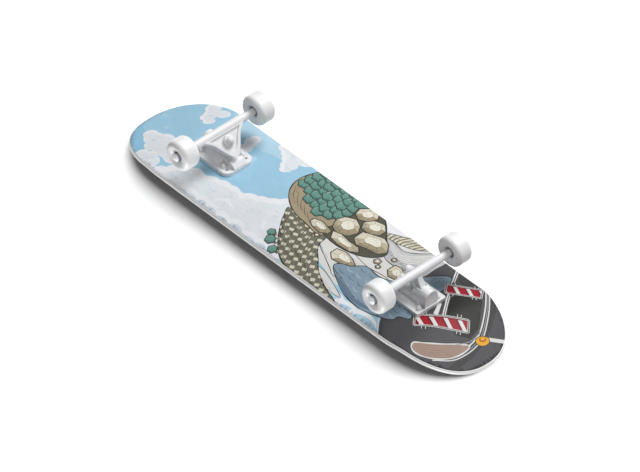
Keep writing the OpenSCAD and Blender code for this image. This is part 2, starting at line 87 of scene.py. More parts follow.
# ---------- small helpers ----------
def linear(r, g, b, a=1.0):
    """An sRGB colour of 0 to 255 as Blender's linear one."""
    def one(v):
        v = v / 255
        return v / 12.92 if v <= 0.04045 else ((v + 0.055) / 1.055) ** 2.4
    return (one(r), one(g), one(b), a)


def new_object(name, mesh):
    obj = bpy.data.objects.new(name, mesh)
    bpy.context.scene.collection.objects.link(obj)
    return obj


def copy_of(node, name):
    """A new piece with the shape of a CAD node."""
    return new_object(name, frame["nodes"][node].data.copy())


def tree_of(obj):
    mesh = obj.data
    return BVHTree.FromPolygons([v.co for v in mesh.vertices], [p.vertices for p in mesh.polygons])


# ---------- camera, floors, lights ----------
def make_camera():
    """A long lens under the board, turned so that the floor is at the bottom of the picture."""
    ahead = Vector((math.cos(VIEW_ELEVATION) * math.cos(VIEW_AZIMUTH),
                    math.cos(VIEW_ELEVATION) * math.sin(VIEW_AZIMUTH), math.sin(VIEW_ELEVATION)))
    right = Vector((-math.sin(VIEW_AZIMUTH), math.cos(VIEW_AZIMUTH), 0))
    up = right.cross(ahead)
    up = up if up.z < 0 else -up
    right = ahead.cross(up)
    cam = bpy.data.objects.new("camera", bpy.data.cameras.new("camera"))
    bpy.context.scene.collection.objects.link(cam)
    cam.data.lens = LENS
    cam.data.sensor_width = 36
    cam.data.clip_end = 200
    place = Matrix((right, up, -ahead)).transposed().to_4x4()
    place.translation = VIEW_CENTRE - VIEW_DISTANCE * ahead
    cam.matrix_world = place
    bpy.context.scene.camera = cam


def floor_material(name):
    """Matt white from the front, and nothing at all from the back."""
    mat = bpy.data.materials.new(name)
    mat.use_nodes = True
    t = mat.node_tree
    t.nodes.clear()
    out = t.nodes.new("ShaderNodeOutputMaterial")
    matt = t.nodes.new("ShaderNodeBsdfDiffuse")
    clear = t.nodes.new("ShaderNodeBsdfTransparent")
    mix = t.nodes.new("ShaderNodeMixShader")
    side = t.nodes.new("ShaderNodeNewGeometry")
    matt.inputs["Color"].default_value = (0.97, 0.97, 0.97, 1)
    t.links.new(side.outputs["Backfacing"], mix.inputs[0])
    t.links.new(matt.outputs[0], mix.inputs[1])
    t.links.new(clear.outputs[0], mix.inputs[2])
    t.links.new(mix.outputs[0], out.inputs["Surface"])
    return mat


def make_floor(name, height, up):
    """A floor that is seen from its own side only, and that lights and shades nothing else."""
    s = 40
    corners = [(-s, -s, height), (s, -s, height), (s, s, height), (-s, s, height)]
    mesh = bpy.data.meshes.new(name)
    mesh.from_pydata(corners, [], [(0, 1, 2, 3) if up else (3, 2, 1, 0)])
    floor = new_object(name, mesh)
    mesh.materials.append(floor_material(name))
    floor.visible_shadow = False
    floor.visible_diffuse = False
    floor.visible_glossy = False
    return floor


def linked_to(name, floors, state):
    """A light's receivers: only the floors, or everything but them."""
    receivers = bpy.data.collections.new(name)
    for floor in floors:
        receivers.objects.link(floor)
    for member in receivers.collection_objects:
        member.light_linking.link_state = state
    return receivers


def make_sun(name, towards, strength, spread, receivers):
    """A soft sun. towards is the direction from the board to the light."""
    sun = bpy.data.objects.new(name, bpy.data.lights.new(name, "SUN"))
    bpy.context.scene.collection.objects.link(sun)
    sun.data.energy = strength
    sun.data.angle = math.radians(spread)
    sun.rotation_euler = Vector(towards).to_track_quat("Z", "Y").to_euler()
    sun.light_linking.receiver_collection = receivers


def make_world():
    """Weak ambient light, seen and mirrored as a white studio."""
    world = bpy.data.worlds.new("studio")
    world.use_nodes = True
    t = world.node_tree
    back = t.nodes["Background"]
    back.inputs["Color"].default_value = (1, 1, 1, 1)
    path = t.nodes.new("ShaderNodeLightPath")
    seen = t.nodes.new("ShaderNodeMath")
    seen.operation = "MAXIMUM"
    level = t.nodes.new("ShaderNodeMapRange")
    level.inputs["To Min"].default_value = AMBIENT
    level.inputs["To Max"].default_value = 1.0
    t.links.new(path.outputs["Is Camera Ray"], seen.inputs[0])
    t.links.new(path.outputs["Is Glossy Ray"], seen.inputs[1])
    t.links.new(seen.outputs[0], level.inputs["Value"])
    t.links.new(level.outputs["Result"], back.inputs["Strength"])
    bpy.context.scene.world = world


def make_studio():
    """White floors on both sides, and one set of lights for the view from below and one from above."""
    bpy.context.scene.view_settings.view_transform = "Standard"
    make_world()
    floors = [make_floor("floor_below", cad_box[0].z, True), make_floor("floor_above", cad_box[1].z, False)]
    ground = linked_to("lit_floors", floors, "INCLUDE")
    board = linked_to("lit_board", floors, "EXCLUDE")
    for side, sign in (("below", -1), ("above", 1)):
        make_sun(f"floor_key_{side}", (0.05, -0.7 * sign, 0.71 * sign), 6.0, 112, ground)
        make_sun(f"dome_{side}", (-0.25, 0.2 * sign, 0.94 * sign), 0.78, 150, board)
    make_sun("key_below", (-0.05, 0.55, -0.83), 2.6, 34, board)
    make_sun("fill_below", (-0.7, -0.35, -0.6), 0.3, 70, board)
    make_sun("key_above", (-0.35, -0.5, 0.8), 2.15, 40, board)
    make_sun("fill_above", (0.6, 0.35, 0.6), 0.5, 70, board)


# ---------- node materials ----------
class Nodes:
    """A principled material that is put together by short calls."""

    def __init__(self, name, **values):
        self.mat = bpy.data.materials.new(name)
        self.mat.use_nodes = True
        self.tree = self.mat.node_tree
        self.shader = self.tree.nodes["Principled BSDF"]
        for key, value in values.items():
            self.shader.inputs[key.replace("_", " ")].default_value = value

    def add(self, kind, links=None, **values):
        node = self.tree.nodes.new("ShaderNode" + kind)
        for key, value in values.items():
            setattr(node, key, value)
        for key, value in (links or {}).items():
            self.feed(node.inputs[key], value)
        return node

    def feed(self, socket, value):
        if hasattr(value, "is_output"):
            self.tree.links.new(value, socket)
        else:
            socket.default_value = value

    def place(self):
        return self.add("TexCoord").outputs["Object"]

    def noise(self, scale, detail=3.0, rough=0.5, vector=None):
        return self.add("TexNoise", {"Vector": vector or self.place(), "Scale": scale, "Detail": detail,
                                     "Roughness": rough}).outputs["Fac"]

    def cells(self, scale, vector=None):
        return self.add("TexVoronoi", {"Vector": vector or self.place(), "Scale": scale}).outputs["Distance"]

    def spread(self, value, low, high, out_low=0.0, out_high=1.0):
        return self.add("MapRange", {"Value": value, "From Min": low, "From Max": high,
                                     "To Min": out_low, "To Max": out_high}).outputs["Result"]

    def mix(self, factor, a, b, blend="MIX"):
        node = self.add("Mix", data_type="RGBA", blend_type=blend)
        self.feed(node.inputs[0], factor)
        self.feed(node.inputs[6], a)
        self.feed(node.inputs[7], b)
        return node.outputs[2]

    def maths(self, how, a, b=0.0):
        return self.add("Math", {0: a, 1: b}, operation=how).outputs[0]

    def attribute(self, name):
        return self.add("Attribute", attribute_name=name)

    def bump(self, height, distance, strength=1.0, normal=None):
        node = self.add("Bump", {"Height": height, "Distance": distance, "Strength": strength})
        if normal:
            self.feed(node.inputs["Normal"], normal)
        return node.outputs["Normal"]

    def set(self, socket, value):
        self.feed(self.shader.inputs[socket], value)


def cast_white():
    """Painted die-cast aluminium: satin, with a faint cast skin under the paint."""
    m = Nodes("truck_white", Metallic=0.0, Coat_Weight=0.08, Coat_Roughness=0.3)
    patches = m.noise(60, 3)
    skin = m.noise(900, 4, 0.6)
    colour = m.mix(m.spread(patches, 0.3, 0.7), linear(228, 229, 231), linear(236, 236, 237))
    m.set("Base Color", m.mix(m.spread(skin, 0.35, 0.5, 0.25, 0.0), colour, linear(205, 206, 209)))
    m.set("Roughness", m.spread(skin, 0.3, 0.7, 0.42, 0.54))
    fine = m.bump(skin, 0.00012, 0.5)
    m.set("Normal", m.bump(m.noise(160, 2), 0.0004, 0.25, fine))
    return m.mat


def painted_steel():
    """White enamel on small hardware, thinner in small random patches."""
    m = Nodes("white_hardware", Metallic=0.0, Coat_Weight=0.15, Coat_Roughness=0.25)
    chips = m.noise(700, 4, 0.65)
    m.set("Base Color", m.mix(m.spread(chips, 0.3, 0.42, 0.35, 0.0), linear(232, 232, 234),
                              linear(188, 190, 194)))
    m.set("Roughness", m.spread(m.noise(350, 3), 0.3, 0.7, 0.36, 0.5))
    m.set("Normal", m.bump(m.noise(500, 3), 0.0002, 0.35))
    return m.mat


def turned_steel(name, shade, scratch):
    """Bare steel with fine turning marks round Y."""
    m = Nodes(name, Metallic=0.6)
    stretch = m.add("Mapping", {"Vector": m.place(), "Scale": (1.0, 30.0, 1.0)}).outputs[0]
    lines = m.noise(scratch, 4, 0.6, stretch)
    m.set("Base Color", m.mix(m.spread(lines, 0.3, 0.7), linear(*shade),
                              linear(*[min(255, v + 26) for v in shade])))
    m.set("Roughness", m.spread(lines, 0.3, 0.7, 0.48, 0.62))
    m.set("Normal", m.bump(lines, 0.0001, 0.4))
    return m.mat


def rubber_seal():
    m = Nodes("seal", Roughness=0.6)
    grain = m.noise(1500, 3)
    m.set("Base Color", m.mix(m.spread(grain, 0.35, 0.65), linear(92, 93, 96), linear(112, 113, 117)))
    m.set("Normal", m.bump(grain, 0.0001, 0.5))
    return m.mat


def moulded(name, low, high, rough, sub=0.0, grain=420.0):
    """Cast urethane or moulded nylon: smooth, faintly cloudy, with a fine mould skin."""
    m = Nodes(name, Subsurface_Weight=sub, Subsurface_Scale=0.004)
    cloud = m.noise(45, 3)
    skin = m.noise(grain, 4, 0.55)
    m.set("Base Color", m.mix(m.spread(cloud, 0.3, 0.7), linear(*low), linear(*high)))
    m.set("Roughness", m.spread(skin, 0.3, 0.7, rough - 0.06, rough + 0.07))
    m.set("Normal", m.bump(skin, 0.00012, 0.35))
    return m.mat


def grip_grit():
    """Black grip paper: packed angular grit, a few specks painted light grey as glints, and scuffed patches.
    """
    m = Nodes("grip", Roughness=0.9)
    grit = m.cells(1100)
    coarse = m.noise(2600, 2, 0.7)
    # painted highlight: light grey specks in the base colour stand in for glints of light off the grit
    painted_glint = m.spread(m.noise(1900, 2, 0.4), 0.66, 0.72)
    worn = m.spread(m.noise(9, 4, 0.6), 0.45, 0.75, 0.0, 0.3)
    dark = m.mix(m.spread(grit, 0.0, 0.6), linear(64, 64, 66), linear(26, 26, 28))
    dusty = m.mix(worn, dark, linear(92, 91, 90))
    m.set("Base Color", m.mix(painted_glint, dusty, linear(150, 150, 152)))
    m.set("Roughness", m.spread(painted_glint, 0.0, 1.0, 0.92, 0.45))
    m.set("Normal", m.bump(coarse, 0.0003, 0.6, m.bump(grit, 0.0005, 0.9)))
    return m.mat


def lacquered_edge():
    """The deck's edge: maple plies under white lacquer, so the glue lines show as faint grooves."""
    m = Nodes("deck_wood", Coat_Weight=0.3, Coat_Roughness=0.25)
    depth = m.attribute("ply").outputs["Fac"]
    wave = m.maths("PINGPONG", m.maths("MULTIPLY", depth, float(PLIES)), 0.5)
    line = m.spread(wave, 0.0, 0.09, 1.0, 0.0)
    grain = m.noise(40, 5, 0.6, m.add("Mapping", {"Vector": m.place(), "Scale": (1.0, 1.0, 14.0)}).outputs[0])
    white = m.mix(m.spread(grain, 0.3, 0.7), linear(236, 236, 236), linear(244, 244, 243))
    m.set("Base Color", m.mix(m.maths("MULTIPLY", line, 0.3), white, linear(196, 184, 164)))
    m.set("Roughness", m.spread(grain, 0.3, 0.7, 0.36, 0.5))
    m.set("Normal", m.bump(m.maths("ADD", m.maths("MULTIPLY", line, -1.0), grain), 0.0002, 0.4))
    return m.mat


def printed_film():
    """Heat-transfer print: flat inks with a fine screen, a slight mottle and a satin clear film."""
    m = Nodes("print", Specular_IOR_Level=0.12)
    ink = m.attribute("ink").outputs["Color"]
    mottle = m.mix(m.spread(m.noise(26, 4, 0.6), 0.3, 0.7), linear(247, 247, 247), linear(255, 255, 255))
    screen = m.mix(m.spread(m.cells(700), 0.05, 0.5), linear(255, 255, 255), linear(250, 250, 250))
    brushed = m.add("Mapping", {"Vector": m.place(), "Scale": (2.0, 14.0, 1.0)}).outputs[0]
    strokes = m.mix(m.spread(m.noise(30, 4, 0.65, brushed), 0.35, 0.65), linear(246, 247, 248),
                    linear(255, 255, 255))
    tone = m.mix(1.0, m.mix(1.0, ink, mottle, "MULTIPLY"), screen, "MULTIPLY")
    m.set("Base Color", m.mix(1.0, tone, strokes, "MULTIPLY"))
    m.set("Roughness", m.spread(m.noise(300, 3), 0.3, 0.7, 0.38, 0.5))
    m.set("Normal", m.bump(m.noise(1200, 2), 0.00005, 0.3))
    return m.mat


def slot_materials():
    return {
        "deck_wood": lacquered_edge(),
        "print": printed_film(),
        "grip": grip_grit(),
        "truck_white": cast_white(),
        "white_hardware": painted_steel(),
        "bare_steel": turned_steel("bare_steel", (196, 198, 202), 260.0),
        "bearing_steel": turned_steel("bearing_steel", (186, 188, 192), 420.0),
        "seal": rubber_seal(),
        "cage": moulded("cage", (176, 160, 128), (192, 176, 142), 0.5),
        "pivot_cup": moulded("pivot_cup", (222, 222, 224), (232, 232, 232), 0.45),
        "bushing": moulded("bushing", (224, 225, 228), (236, 236, 238), 0.4),
        "urethane": moulded("urethane", (238, 238, 238), (246, 246, 246), 0.34, 0.08),
    }


# ---------- the printed picture ----------
# A generic landscape: sky and clouds at the nose, a wooded hill, rocks, a chequered field, a ramp and a
# pond in the middle, and a road with striped barriers, a plank and a round reflector at the tail.
# Areas are in millimetres on the underside, x to the nose and y to the left; later areas cover earlier ones.
INKS = {
    "sky": (160, 203, 226), "sky_deep": (146, 195, 222), "sky_pale": (180, 213, 230),
    "cloud": (237, 238, 241), "cloud_body": (226, 230, 235), "cloud_shade": (207, 218, 228),
    "teal": (104, 148, 136), "teal_dark": (68, 106, 96), "teal_light": (150, 184, 174),
    "khaki": (166, 152, 126), "khaki_dark": (128, 114, 92),
    "bone": (218, 211, 191), "bone_light": (236, 231, 216), "bone_shade": (188, 178, 154),
    "olive": (116, 114, 100), "olive_dark": (86, 84, 72), "ink": (46, 45, 38),
    "stone": (196, 196, 198), "stone_dark": (152, 153, 156), "stone_light": (222, 221, 218),
    "pond": (134, 154, 170), "pond_dark": (100, 122, 140), "pond_light": (166, 184, 196),
    "road": (75, 75, 78), "road_dark": (58, 58, 58), "panel": (41, 42, 38), "line": (224, 224, 222),
    "red": (160, 32, 46), "red_dark": (112, 24, 34),
    "timber": (166, 141, 127), "timber_dark": (138, 112, 100),
    "amber": (236, 168, 36), "amber_dark": (176, 110, 24),
}
ROCK_INKS = ("bone_light", "bone", "bone", "bone_shade", "khaki")


class Picture:
    """Flat areas in painting order. Each is [outline, ink, the area it is clipped to]."""

    def __init__(self):
        self.areas = []
        self.random = random.Random(7)

    def area(self, outline, ink, clip=None):
        self.areas.append([anticlockwise(outline), ink, clip])
        return len(self.areas) - 1

    def oval(self, x, y, rx, ry, ink, turn=0.0, clip=None, steps=28):
        c, s = math.cos(math.radians(turn)), math.sin(math.radians(turn))
        ring = [(rx * math.cos(a), ry * math.sin(a)) for a in (2 * math.pi * i / steps for i in range(steps))]
        return self.area([(x + u * c - v * s, y + u * s + v * c) for u, v in ring], ink, clip)

    def blob(self, points, ink, clip=None, edge=None, width=1.4):
        """A smooth closed area through points, with an inked edge if edge is given."""
        outline = smooth(points, True)
        made = self.area(outline, ink, clip)
        if edge:
            self.stroke(points, width, edge, closed=True)
        return made

    def stroke(self, points, width, ink="ink", closed=False, clip=None, taper=0.0, steps=4):
        """A brush line through points. taper 1 brings both ends to a point."""
        line = smooth(points, closed, steps)
        n = len(line)
        rails = []
        for i, p in enumerate(line):
            a = line[i - 1] if closed or i else p
            b = line[(i + 1) % n] if closed or i < n - 1 else p
            d = math.hypot(b[0] - a[0], b[1] - a[1]) or 1.0
            t = i / max(1, n - 1)
            w = width / 2 * (1 - taper * abs(2 * t - 1) ** 1.5) + 0.04
            w *= 1 + (0.25 * math.sin(5.3 * i) if closed else 0)
            nx, ny = -(b[1] - a[1]) / d * w, (b[0] - a[0]) / d * w
            rails.append(((p[0] + nx, p[1] + ny), (p[0] - nx, p[1] - ny)))
        for i in range(n if closed else n - 1):
            (l0, r0), (l1, r1) = rails[i], rails[(i + 1) % n]
            self.area([l0, r0, r1, l1], ink, clip)

    def hatch(self, start, end, count, length, slant, width=0.7, ink="ink", clip=None):
        """Short tapered pen lines along a line, all at one slant in degrees."""
        for i in range(count):
            t = (i + 0.5) / count
            x = start[0] + (end[0] - start[0]) * t + self.random.uniform(-1, 1)
            y = start[1] + (end[1] - start[1]) * t + self.random.uniform(-1, 1)
            r = length * self.random.uniform(0.55, 1.1)
            a = math.radians(slant + self.random.uniform(-9, 9))
            bend = self.random.uniform(-0.06, 0.06) * r
            mid = (x + r / 2 * math.cos(a) - bend * math.sin(a), y + r / 2 * math.sin(a) + bend * math.cos(a))
            self.stroke([(x, y), mid, (x + r * math.cos(a), y + r * math.sin(a))], width, ink, clip=clip,
                        taper=1.0, steps=2)


def anticlockwise(outline):
    """The outline, turned round if it runs clockwise."""
    turn = sum(a[0] * b[1] - b[0] * a[1] for a, b in zip(outline, outline[1:] + outline[:1]))
    return outline if turn > 0 else outline[::-1]


def catmull_rom(a, b, c, d, t):
    """One coordinate of the curve from b to c, where t runs from 0 to 1."""
    squared = (2 * a - 5 * b + 4 * c - d) * t * t
    return 0.5 * (2 * b + (c - a) * t + squared + (3 * b - a - 3 * c + d) * t ** 3)


def smooth(points, closed, steps=4):
    """A Catmull-Rom curve through points."""
    n = len(points)
    if n < 3:
        return list(points)
    line = []
    for i in range(n if closed else n - 1):
        at = [(i + k) % n if closed else min(n - 1, max(0, i + k)) for k in (-1, 0, 1, 2)]
        p0, p1, p2, p3 = (points[k] for k in at)
        for s in range(steps):
            t = s / steps
            line.append(tuple(catmull_rom(*values, t) for values in zip(p0, p1, p2, p3)))
    if not closed:
        line.append(tuple(points[-1]))
    return line


def cloud(pic, puffs, shift=(-5, -3), body="cloud_body", rim="cloud"):
    """A cloud of round puffs [x, y, radius], lit on one side, with soft crescents of shade inside."""
    for x, y, r in puffs:
        pic.oval(x, y, r, r, rim)
    for x, y, r in puffs:
        pic.oval(x + shift[0], y + shift[1], r * 0.86, r * 0.86, body)
    for x, y, r in puffs[1:-1:2]:
        for k in range(3):
            u, v = x + pic.random.uniform(-0.5, 0.3) * r, y + pic.random.uniform(-0.5, 0.2) * r
            pic.stroke([(u, v), (u - 0.22 * r, v - 0.1 * r), (u - 0.5 * r, v - 0.04 * r)], 2.2, "cloud_shade",
                       taper=1.0)


def paint_sky(pic):
    pic.blob([(410, -110), (410, -20), (330, -60), (250, -110)], "sky_deep")
    pic.blob([(300, 110), (240, 60), (150, 70), (120, 110)], "sky_pale")
    for x, y, rx, ry, turn in ((385, 20, 6, 3, 10), (192, 60, 5, 4, 0), (186, 34, 7, 6, 30),
                               (352, -6, 5, 3, 20)):
        pic.oval(x, y, rx, ry, "sky_pale", turn)
    cloud(pic, [(333, 78, 13), (320, 66, 15), (306, 74, 12), (318, 52, 12), (306, 44, 9)], (-3, 3))
    cloud(pic, [(222, 72, 9), (220, 60, 11), (214, 46, 10), (222, 34, 10), (208, 30, 9)], (-3, -2))
    cloud(pic, [(176, 96, 12), (160, 92, 16), (146, 82, 17), (138, 66, 13), (130, 96, 14), (134, 54, 8)],
          (-4, 4))
    cloud(pic, [(360, -34, 12), (345, -40, 17), (326, -40, 22), (304, -48, 24), (282, -52, 20),
                (330, -56, 14)], (-3, -4))
    cloud(pic, [(326, -82, 11), (310, -80, 13), (296, -86, 12)], (-2, -3))


def paint_cloud_bank(pic):
    pic.area([(230, -90), (90, -50), (20, -40), (-20, -70), (-20, -112), (230, -112)], "cloud_body")
    cloud(pic, [(268, -96, 16), (252, -82, 18), (238, -72, 18), (222, -66, 20), (206, -70, 22),
                (188, -62, 22), (168, -56, 22), (150, -52, 20), (132, -56, 22), (112, -46, 24),
                (92, -38, 26), (74, -26, 26), (62, -8, 22), (40, -40, 30), (10, -60, 30)], (-7, -7))
    for x0, y0, x1, y1, ry in ((240, -112, 20, -118, 44), (180, -96, 0, -100, 34)):
        pic.oval((x0 + x1) / 2, (y0 + y1) / 2, abs(x1 - x0) / 2, ry, "cloud_body")
    cloud(pic, [(214, -98, 14), (196, -100, 18), (172, -98, 18), (150, -100, 20), (120, -104, 22),
                (90, -102, 24), (56, -104, 22), (30, -100, 20)], (-4, -6), "cloud_shade")
    cloud(pic, [(150, -74, 8), (140, -70, 10), (128, -72, 8)], (-2, -3), "cloud_body", "cloud")
    for x in range(6):
        pic.oval(-30 - 36 * x, -96 + 3 * (x % 2), 30, 15, "cloud")
        pic.oval(-36 - 36 * x, -99 + 3 * (x % 2), 26, 11, "sky_pale")


def tree(pic, x, y, r):
    """A round tree with its crown towards the nose."""
    pic.area([(x - 0.6 * r, y - 2.0), (x - 0.6 * r, y + 2.0), (x - 1.6 * r, y + 2.6),
              (x - 1.6 * r, y - 2.6)], "ink")
    pic.area([(x - 0.6 * r, y - 1.2), (x - 0.6 * r, y + 1.2), (x - 1.55 * r, y + 1.7),
              (x - 1.55 * r, y - 1.7)], "timber_dark")

    def crown(size, ink, dx=0.0, dy=0.0, clip=None, sides=30):
        turns = [2 * math.pi * k / sides for k in range(sides)]
        return pic.area([(x + dx + size * (1 + 0.07 * math.sin(6 * a + x)) * math.cos(a),
                          y + dy + size * (1 + 0.07 * math.sin(6 * a + x)) * math.sin(a)) for a in turns],
                        ink, clip)

    crown(r + 0.9, "ink")
    whole = crown(r - 0.4, "teal_dark")
    crown(0.9 * r, "teal", 0.16 * r, 0.14 * r, whole)
    crown(0.42 * r, "teal_light", 0.38 * r, 0.34 * r, whole, 15)
    crown(0.4 * r, "teal", 0.3 * r, 0.26 * r, whole, 15)
    pic.hatch((x - 0.8 * r, y - 0.3 * r), (x + 0.1 * r, y - 0.8 * r), 3, 0.4 * r, 50, 0.8, "ink", whole)


def paint_grove(pic):
    """Rows of round trees on a khaki hill that rises to the left edge."""
    hill = pic.blob([(84, 126), (96, 96), (101, 60), (92, 30), (74, 10), (48, -4), (14, -10), (-30, -8),
                     (-44, 60), (-20, 126)], "khaki", edge="ink", width=1.8)
    pic.hatch((98, 70), (80, 16), 16, 12, 170, 0.8, "khaki_dark", hill)
    pic.hatch((76, 12), (-10, -6), 24, 10, 112, 0.8, "khaki_dark", hill)
    for k in range(5):
        furrow = [(92 - 15 * k, 44 - 8 * k), (80 - 15 * k, 26 - 6 * k), (66 - 15 * k, 14 - 5 * k)]
        pic.stroke(furrow, 1.0, "olive_dark", clip=hill, taper=1.0)
    for row, (x, first) in enumerate(((82, 56), (66, 46), (50, 36), (34, 28), (18, 24), (2, 28), (-12, 44))):
        for k in range(int((108 - first) / 16) + 1):
            tree(pic, x + pic.random.uniform(-3, 3), first + 16 * k + 5 * (row % 2),
                 pic.random.uniform(11, 14.5))


def paint_terrace(pic):
    """A chequered field on a slope that falls to the right edge."""
    land = pic.blob([(58, -2), (50, -22), (34, -46), (12, -70), (-14, -90), (-60, -104), (-120, -116),
                     (-190, -118), (-150, -96), (-112, -84), (-84, -70), (-60, -50), (-40, -30), (-30, -2),
                     (10, 2)], "olive", edge="ink", width=2.0)
    c, s = math.cos(math.radians(-26)), math.sin(math.radians(-26))
    w, h = 3.9, 3.0
    tile = ((-w, -h), (w, -h), (w + 0.8, h), (-w, h))
    for i in range(-18, 12):
        for j in range(-18, 8):
            if (i + j) % 2:
                continue
            u, v = 10.4 * i, 8.4 * j
            x, y = u * c - v * s, u * s + v * c
            pic.area([(x + a * c - b * s, y + a * s + b * c) for a, b in tile], "bone", land)
    for k in range(9):
        y = -12 - 9 * k
        pic.stroke([(60, y + 20), (20, y), (-30, y - 14)], 0.8, "olive_dark", clip=land, taper=0.5)
    for k in range(7):
        row = [(46 - 14 * k, 4), (40 - 14 * k, -30), (24 - 14 * k, -90)]
        pic.stroke(row, 1.4, "olive_dark", clip=land, taper=0.6)
    pic.hatch((52, -20), (10, -72), 18, 10, 200, 0.9, "ink", land)
    pic.hatch((-22, -66), (-90, -92), 16, 12, 40, 0.9, "ink", land)
    for x, y, r in ((36, -62, 7), (26, -74, 9), (8, -86, 8)):
        tree(pic, x, y, r)


def paint_sand(pic):
    pic.area([(-10, 112), (-10, -30), (-60, -52), (-120, -70), (-200, -64), (-214, 20), (-196, 112)],
             "stone_light")
    sand = pic.blob([(-6, -6), (-30, -4), (-60, -8), (-90, -2), (-130, -8), (-175, -4), (-180, -30),
                     (-150, -46), (-110, -60), (-90, -52), (-64, -40), (-40, -28)], "stone_light",
                    edge="ink", width=1.2)
    pic.hatch((-40, -26), (-80, -46), 12, 10, 30, 0.7, "stone_dark", sand)
    pic.hatch((-90, -10), (-160, -12), 16, 9, 280, 0.7, "stone_dark", sand)
    dune = pic.blob([(-60, -66), (-86, -62), (-120, -72), (-150, -84), (-120, -86), (-90, -80)],
                    "stone_light", edge="ink", width=1.0)
    pic.hatch((-66, -70), (-130, -84), 14, 8, 20, 0.7, "stone_dark", dune)


def paint_ramp(pic):
    """A concrete quarter pipe at the left edge, with a striped coping wall."""
    pic.blob([(-70, 110), (-74, 84), (-100, 70), (-140, 84), (-168, 100), (-170, 112)], "cloud")
    wall = pic.blob([(-88, 72), (-100, 62), (-130, 70), (-154, 84), (-164, 104), (-140, 106), (-112, 88)],
                    "bone", edge="ink", width=1.6)
    for k in range(10):
        x = -92 - 7.2 * k
        pic.stroke([(x, 60), (x + 5, 76), (x - 3, 104)], 2.6, "olive", clip=wall)
    pic.hatch((-94, 66), (-158, 96), 16, 8, 110, 0.8, "ink", wall)
    ramp = pic.blob([(-96, 60), (-112, 66), (-140, 62), (-160, 78), (-176, 102), (-200, 104), (-206, 70),
                     (-208, 40), (-190, 22), (-160, 24), (-136, 26), (-118, 40)], "stone", edge="ink",
                    width=1.6)
    pic.blob([(-112, 60), (-140, 54), (-160, 66), (-180, 100), (-196, 100), (-182, 60), (-160, 40),
              (-134, 44)], "stone_light", ramp)
    for k in range(7):
        pic.stroke([(-108 - 3 * k, 60 - 4 * k), (-138 - 3 * k, 52 - 4 * k), (-162 - 3 * k, 62 - 3 * k),
                    (-184 - 2 * k, 98)], 0.8, "stone_dark", clip=ramp, taper=0.7)
    pic.hatch((-124, 38), (-190, 28), 18, 9, 100, 0.7, "ink", ramp)


def rock(pic, points, peak):
    """A faceted bone-coloured rock: each facet's ink follows the way it faces."""
    pic.area(points, "bone")
    rim = [(peak[0] + (x - peak[0]) * 0.5, peak[1] + (y - peak[1]) * 0.5) for x, y in points]
    top = pic.area(rim, "bone_light")
    for i, (a, b) in enumerate(zip(points, points[1:] + points[:1])):
        ra, rb = rim[i], rim[(i + 1) % len(rim)]
        mx, my = (a[0] + b[0]) / 2 - peak[0], (a[1] + b[1]) / 2 - peak[1]
        facing = (0.45 * mx + 0.89 * my) / (math.hypot(mx, my) or 1.0)
        tone = min(3, max(0, int(1.6 - 1.9 * facing + 0.5 * (i % 2))))
        facet = pic.area([a, b, rb, ra], ROCK_INKS[tone + 1])
        if tone > 1:
            pic.hatch(a, b, 6, 0.4 * math.hypot(mx, my), 120, 0.7, "olive_dark", facet)
        pic.stroke([a, ra], 0.8, "ink", taper=0.5)
        pic.stroke([ra, rb], 0.5, "khaki_dark")
    pic.hatch(rim[0], rim[len(rim) // 2], 5, 6, 60, 0.5, "khaki", top)
    for a, b in zip(points, points[1:] + points[:1]):
        pic.stroke([a, b], 1.7, "ink")


def paint_rocks(pic):
    ground = pic.blob([(-16, 84), (-22, 60), (-22, 20), (-14, -2), (-60, -10), (-110, 4), (-130, 34),
                       (-96, 66), (-66, 92), (-40, 104)], "olive_dark", edge="ink", width=2.0)
    pic.hatch((-30, 80), (-120, 30), 40, 10, 200, 0.9, "ink", ground)
    rock(pic, [(-16, 82), (-22, 66), (-36, 60), (-50, 68), (-54, 86), (-44, 99), (-26, 99)], (-34, 84))
    rock(pic, [(-46, 62), (-54, 80), (-72, 86), (-86, 74), (-88, 58), (-74, 48), (-56, 48)], (-68, 70))
    rock(pic, [(-18, 48), (-34, 58), (-52, 50), (-62, 36), (-56, 18), (-40, 10), (-22, 16), (-14, 32)],
         (-36, 40))
    rock(pic, [(-64, 44), (-80, 52), (-98, 60), (-114, 54), (-128, 38), (-120, 24), (-98, 20), (-80, 14),
               (-66, 22)], (-92, 44))
    rock(pic, [(-30, 10), (-46, 15), (-66, 12), (-88, 13), (-98, 4), (-84, -5), (-60, -7), (-40, -4)],
         (-62, 6))
    rock(pic, [(12, 9), (-4, 13), (-18, 10), (-30, 8), (-30, -2), (-18, -9), (0, -7), (12, -1)], (-8, 5))
    rock(pic, [(-66, -14), (-84, -9), (-102, -13), (-118, -21), (-112, -31), (-96, -35), (-78, -37),
               (-66, -28)], (-92, -18))
    rock(pic, [(-158, 27), (-172, 30), (-186, 20), (-186, 4), (-170, 0), (-158, 10)], (-172, 18))
    for x, y, r in ((-132, 12, 7), (-142, 4, 5), (-20, -16, 5), (-148, 34, 5), (-130, -22, 4)):
        pebble = [(x + r, y - 1), (x + 0.4 * r, y + r), (x - 0.7 * r, y + 0.8 * r), (x - r, y - 0.3 * r),
                  (x, y - r)]
        rock(pic, pebble, (x, y + 0.3 * r))


